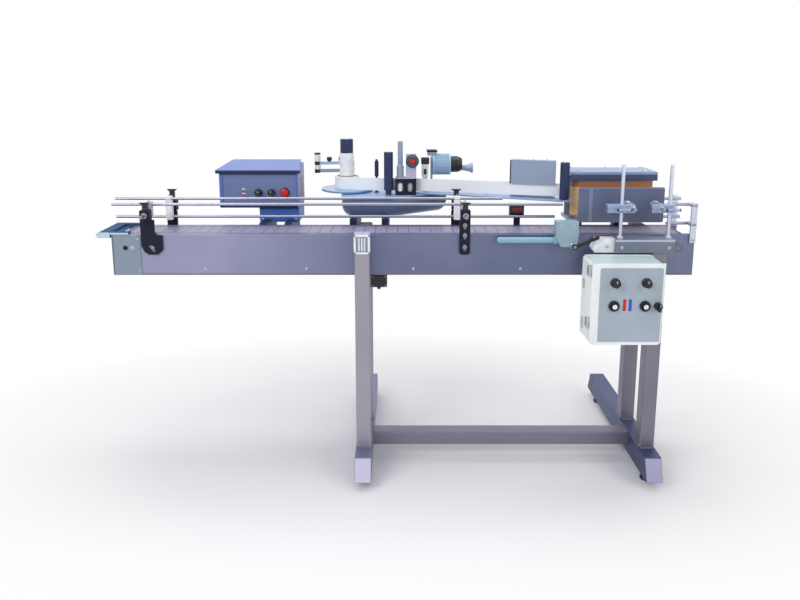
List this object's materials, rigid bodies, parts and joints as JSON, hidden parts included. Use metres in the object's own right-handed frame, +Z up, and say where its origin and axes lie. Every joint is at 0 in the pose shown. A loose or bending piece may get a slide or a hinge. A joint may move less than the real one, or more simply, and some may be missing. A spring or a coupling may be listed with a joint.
{
  "type": "bottle labelling machine",
  "caption": "Conveyor machine that carries bottles past a label head with reel, peel roller and wrap belt, on an H-shaped stand with console and control box.",
  "frame": {"origin": "on the floor, under the middle of the machine's bounding box", "axes": "+X along the conveyor towards the discharge end, +Y from the operator's side to the back, +Z up"},
  "size_m": [2, 0.8, 1.14],
  "materials": {
    "stainless": "brushed sheet and tube",
    "bright_steel": "ground bar",
    "grey_steel": "dull plate",
    "chain_slats": "satin moulded slats",
    "black_metal": "black powder coat",
    "black_plastic": "moulded",
    "white_enamel": "satin enamel",
    "button_white": "moulded",
    "red_plastic": "moulded",
    "navy_enamel": "satin enamel",
    "blue_enamel": "satin enamel",
    "console_grey": "satin enamel",
    "console_roof": "satin enamel",
    "motor_grey": "satin enamel",
    "acrylic": "clear tinted sheet",
    "label_stock": "paper label stock",
    "rubber_roller": "rubber sleeve",
    "roller_white": "turned plastic",
    "wrap_belt": "tan belt",
    "pad_grey": "foam-backed pad",
    "steel_blue": "satin enamel"
  },
  "bodies": {
    "frame": {"floor_frame": "stainless", "leg_posts": "stainless", "levelling_feet": "black_plastic", "side_plates": "stainless", "infeed_plates": "grey_steel", "chain_supports": "bright_steel", "chain_top_run": "chain_slats", "chain_return": "chain_slats", "shaft_bearings": "black_plastic", "drive_gearmotor": "motor_grey", "junction_box": "black_plastic", "guide_brackets": "black_metal", "outfeed_guides": "bright_steel", "control_box": "white_enamel", "support_arms": "navy_enamel", "console_base": "blue_enamel", "console_body": "console_grey", "console_roof": "console_roof", "head_housing": "navy_enamel", "head_deck": "bright_steel", "nip_fork": "black_metal", "head_motor": "motor_grey", "peel_arm": "steel_blue", "label_web": "label_stock", "pad_shelf": "bright_steel", "side_clamp": "steel_blue", "wrap_belt": "wrap_belt", "belt_unit": "steel_blue"},
    "drive_wheel": {"drive_shaft": "bright_steel"},
    "idler_wheel": {"idler_shaft": "bright_steel"},
    "front_guide": {"front_guide_rail": "bright_steel"},
    "rear_guide": {"rear_guide_rails": "bright_steel"},
    "front_left_knob": {"front_left_knob": "black_plastic"},
    "front_right_knob": {"front_right_knob": "black_plastic"},
    "rear_left_knob": {"rear_left_knob": "black_plastic"},
    "rear_right_knob": {"rear_right_knob": "black_plastic"},
    "control_door": {"control_door": "white_enamel"},
    "left_speed_knob": {"left_speed_knob": "black_plastic"},
    "right_speed_knob": {"right_speed_knob": "black_plastic"},
    "start_button": {"start_button": "button_white"},
    "stop_button": {"stop_button": "button_white"},
    "isolator_knob": {"isolator_knob": "black_plastic"},
    "console_left_knob": {"console_left_knob": "black_plastic"},
    "console_right_knob": {"console_right_knob": "black_plastic"},
    "emergency_button": {"emergency_button": "red_plastic"},
    "reel": {"reel": "acrylic", "label_roll": "label_stock"},
    "dancer_arm": {"dancer_arm": "steel_blue"},
    "drive_roller": {"drive_roller": "rubber_roller"},
    "pinch_roller": {"pinch_roller": "roller_white"},
    "fork_roller_left": {"fork_roller_left": "roller_white"},
    "fork_roller_right": {"fork_roller_right": "roller_white"},
    "pressure_knob": {"pressure_knob": "black_plastic"},
    "peel_roller": {"peel_roller": "rubber_roller"},
    "pressure_pad": {"pressure_pad": "pad_grey"},
    "pad_handle_left": {"pad_handle_left": "bright_steel"},
    "pad_handle_right": {"pad_handle_right": "bright_steel"},
    "clamp_lever": {"clamp_lever": "black_plastic"},
    "belt_drive_roller": {"belt_drive_roller": "roller_white"},
    "belt_idler_roller": {"belt_idler_roller": "roller_white"}
  },
  "joints": [
    {"name": "drive_spin", "type": "hinge", "parent": "frame", "child": "drive_wheel", "pos_m": [0.95, -0.124, 0.804], "axis": [0, 1, 0], "continuous": true},
    {"name": "idler_spin", "type": "hinge", "parent": "frame", "child": "idler_wheel", "pos_m": [-0.904, -0.124, 0.804], "axis": [0, 1, 0], "continuous": true},
    {"name": "front_guide_slide", "type": "slide", "parent": "frame", "child": "front_guide", "axis": [0, 1, 0], "range_m": [-0.008, 0.03]},
    {"name": "rear_guide_slide", "type": "slide", "parent": "frame", "child": "rear_guide", "axis": [0, 1, 0], "range_m": [-0.03, 0.008]},
    {"name": "front_left_knob_turn", "type": "hinge", "parent": "frame", "child": "front_left_knob", "pos_m": [-0.825, -0.219, 0.936], "axis": [0, 0, 1], "range_deg": [0, 360]},
    {"name": "front_right_knob_turn", "type": "hinge", "parent": "frame", "child": "front_right_knob", "pos_m": [0.231, -0.219, 0.936], "axis": [0, 0, 1], "range_deg": [0, 360]},
    {"name": "rear_left_knob_turn", "type": "hinge", "parent": "frame", "child": "rear_left_knob", "pos_m": [-0.795, -0.029, 0.936], "axis": [0, 0, 1], "range_deg": [0, 360]},
    {"name": "rear_right_knob_turn", "type": "hinge", "parent": "frame", "child": "rear_right_knob", "pos_m": [0.215, -0.029, 0.936], "axis": [0, 0, 1], "range_deg": [0, 360]},
    {"name": "control_door_hinge", "type": "hinge", "parent": "frame", "child": "control_door", "pos_m": [0.609, -0.3693, 0.66], "axis": [0, 0, -1], "range_deg": [0, 110]},
    {"name": "left_speed_turn", "type": "hinge", "parent": "control_door", "child": "left_speed_knob", "pos_m": [0.688, -0.3753, 0.733], "axis": [0, 1, 0], "range_deg": [-135, 135]},
    {"name": "right_speed_turn", "type": "hinge", "parent": "control_door", "child": "right_speed_knob", "pos_m": [0.786, -0.3753, 0.733], "axis": [0, 1, 0], "range_deg": [-135, 135]},
    {"name": "start_press", "type": "slide", "parent": "control_door", "child": "start_button", "axis": [0, 1, 0], "range_m": [0, 0.004], "stiffness_N_per_m": 600},
    {"name": "stop_press", "type": "slide", "parent": "control_door", "child": "stop_button", "axis": [0, 1, 0], "range_m": [0, 0.004], "stiffness_N_per_m": 600},
    {"name": "isolator_turn", "type": "hinge", "parent": "control_door", "child": "isolator_knob", "pos_m": [0.826, -0.3753, 0.657], "axis": [0, 1, 0], "range_deg": [0, 90]},
    {"name": "console_left_turn", "type": "hinge", "parent": "frame", "child": "console_left_knob", "pos_m": [-0.498, 0.016, 0.955], "axis": [0, 1, 0], "range_deg": [-135, 135]},
    {"name": "console_right_turn", "type": "hinge", "parent": "frame", "child": "console_right_knob", "pos_m": [-0.451, 0.016, 0.955], "axis": [0, 1, 0], "range_deg": [-135, 135]},
    {"name": "emergency_press", "type": "slide", "parent": "frame", "child": "emergency_button", "axis": [0, 1, 0], "range_m": [0, 0.004], "stiffness_N_per_m": 800},
    {"name": "reel_spin", "type": "hinge", "parent": "frame", "child": "reel", "pos_m": [-0.185, 0.136, 0.952], "axis": [0, 0, 1], "continuous": true},
    {"name": "drive_roller_spin", "type": "hinge", "parent": "frame", "child": "drive_roller", "pos_m": [-0.027, 0.046, 1.03], "axis": [0, 0, 1], "continuous": true},
    {"name": "pinch_roller_spin", "type": "hinge", "parent": "frame", "child": "pinch_roller", "pos_m": [-0.027, 0.0781, 1.014], "axis": [0, 0, 1], "continuous": true},
    {"name": "fork_left_spin", "type": "hinge", "parent": "frame", "child": "fork_roller_left", "pos_m": [0.016, 0.0495, 0.976], "axis": [0, 0, 1], "continuous": true},
    {"name": "fork_right_spin", "type": "hinge", "parent": "frame", "child": "fork_roller_right", "pos_m": [0.052, 0.0495, 0.976], "axis": [0, 0, 1], "continuous": true},
    {"name": "peel_roller_spin", "type": "hinge", "parent": "frame", "child": "peel_roller", "pos_m": [0.583, -0.094, 1.014], "axis": [0, 0, 1], "continuous": true},
    {"name": "dancer_swing", "type": "hinge", "parent": "frame", "child": "dancer_arm", "pos_m": [-0.178, 0.251, 1.023], "axis": [0, 0, 1], "range_deg": [-10, 25], "stiffness_Nm_per_rad": 0.6},
    {"name": "pressure_knob_turn", "type": "hinge", "parent": "frame", "child": "pressure_knob", "pos_m": [0.06, 0.0325, 1.069], "axis": [0, 1, 0], "range_deg": [-180, 180]},
    {"name": "pressure_pad_slide", "type": "slide", "parent": "frame", "child": "pressure_pad", "axis": [0, 1, 0], "range_m": [-0.015, 0.03]},
    {"name": "pad_handle_left_turn", "type": "hinge", "parent": "frame", "child": "pad_handle_left", "pos_m": [0.74, -0.248, 0.944], "axis": [0, 1, 0], "range_deg": [0, 360]},
    {"name": "pad_handle_right_turn", "type": "hinge", "parent": "frame", "child": "pad_handle_right", "pos_m": [0.898, -0.248, 0.944], "axis": [0, 1, 0], "range_deg": [0, 360]},
    {"name": "clamp_lever_swing", "type": "hinge", "parent": "frame", "child": "clamp_lever", "pos_m": [0.586, -0.262, 0.82], "axis": [0, -1, 0], "range_deg": [0, 70]},
    {"name": "belt_drive_spin", "type": "hinge", "parent": "frame", "child": "belt_drive_roller", "pos_m": [0.87, -0.054, 0.95], "axis": [0, 0, 1], "continuous": true},
    {"name": "belt_idler_spin", "type": "hinge", "parent": "frame", "child": "belt_idler_roller", "pos_m": [0.645, -0.054, 0.95], "axis": [0, 0, 1], "continuous": true}
  ],
  "couplings": [
    {"joint": "idler_spin", "follows": "drive_spin", "ratio": 1},
    {"joint": "drive_roller_spin", "follows": "reel_spin", "ratio": -2.7879},
    {"joint": "pinch_roller_spin", "follows": "reel_spin", "ratio": 3.2857},
    {"joint": "fork_left_spin", "follows": "reel_spin", "ratio": -3.5385},
    {"joint": "fork_right_spin", "follows": "reel_spin", "ratio": -3.5385},
    {"joint": "peel_roller_spin", "follows": "reel_spin", "ratio": -2.875},
    {"joint": "belt_idler_spin", "follows": "belt_drive_spin", "ratio": 1}
  ]
}
